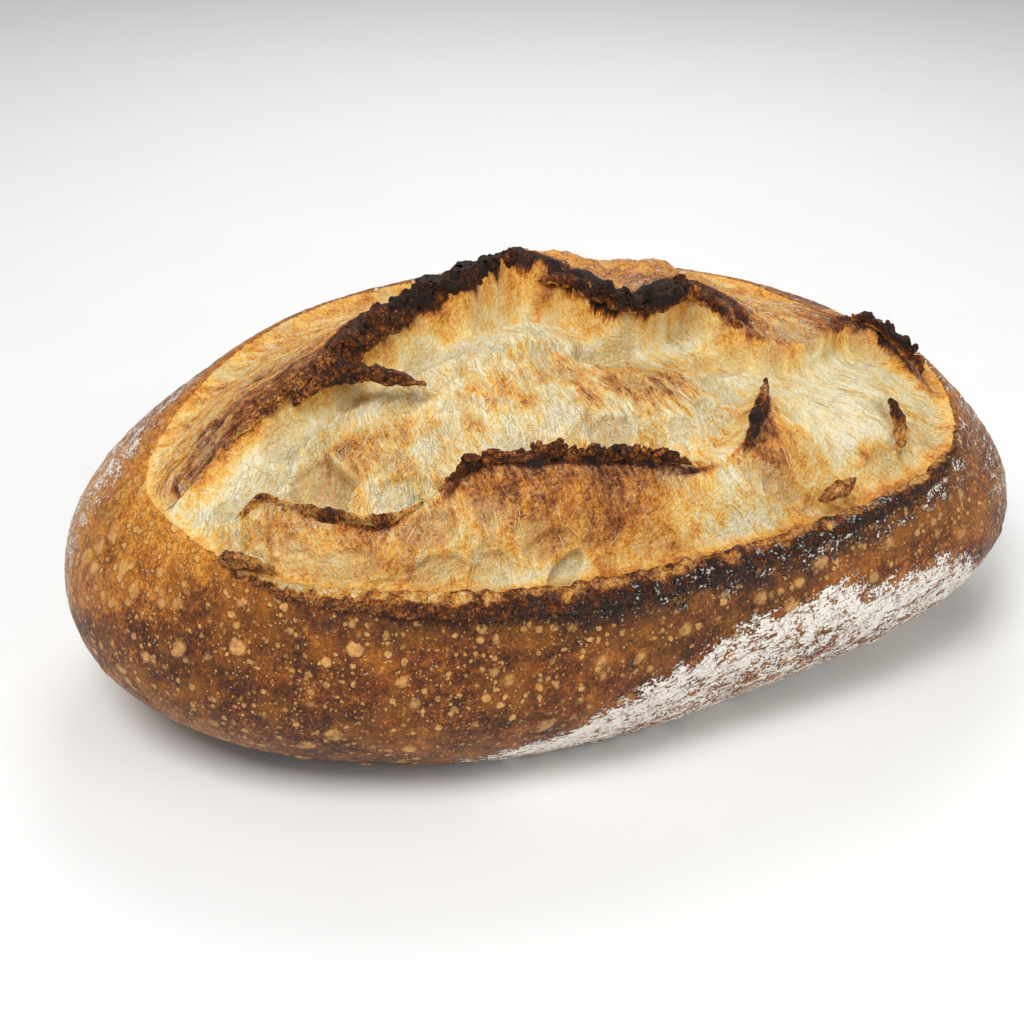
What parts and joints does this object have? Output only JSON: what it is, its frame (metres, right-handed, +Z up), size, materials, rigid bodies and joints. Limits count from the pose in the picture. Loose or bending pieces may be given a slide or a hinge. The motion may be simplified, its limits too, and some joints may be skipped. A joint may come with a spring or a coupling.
{
  "type": "country bread",
  "caption": "Oval hearth loaf with a blistered dark crust, burst open along its top into a terrace of torn crumb under a high scorched ear.",
  "frame": {"origin": "on the hearth plane under the middle of the loaf", "axes": "+X along the loaf to its steeper end, +Y from the lipped side to the floured back, +Z up"},
  "size_m": [0.2901, 0.1754, 0.1165],
  "materials": {
    "crust": "baked crust, matt to slightly glossy"
  },
  "bodies": {
    "root": {"loaf": "crust"}
  },
  "joints": []
}
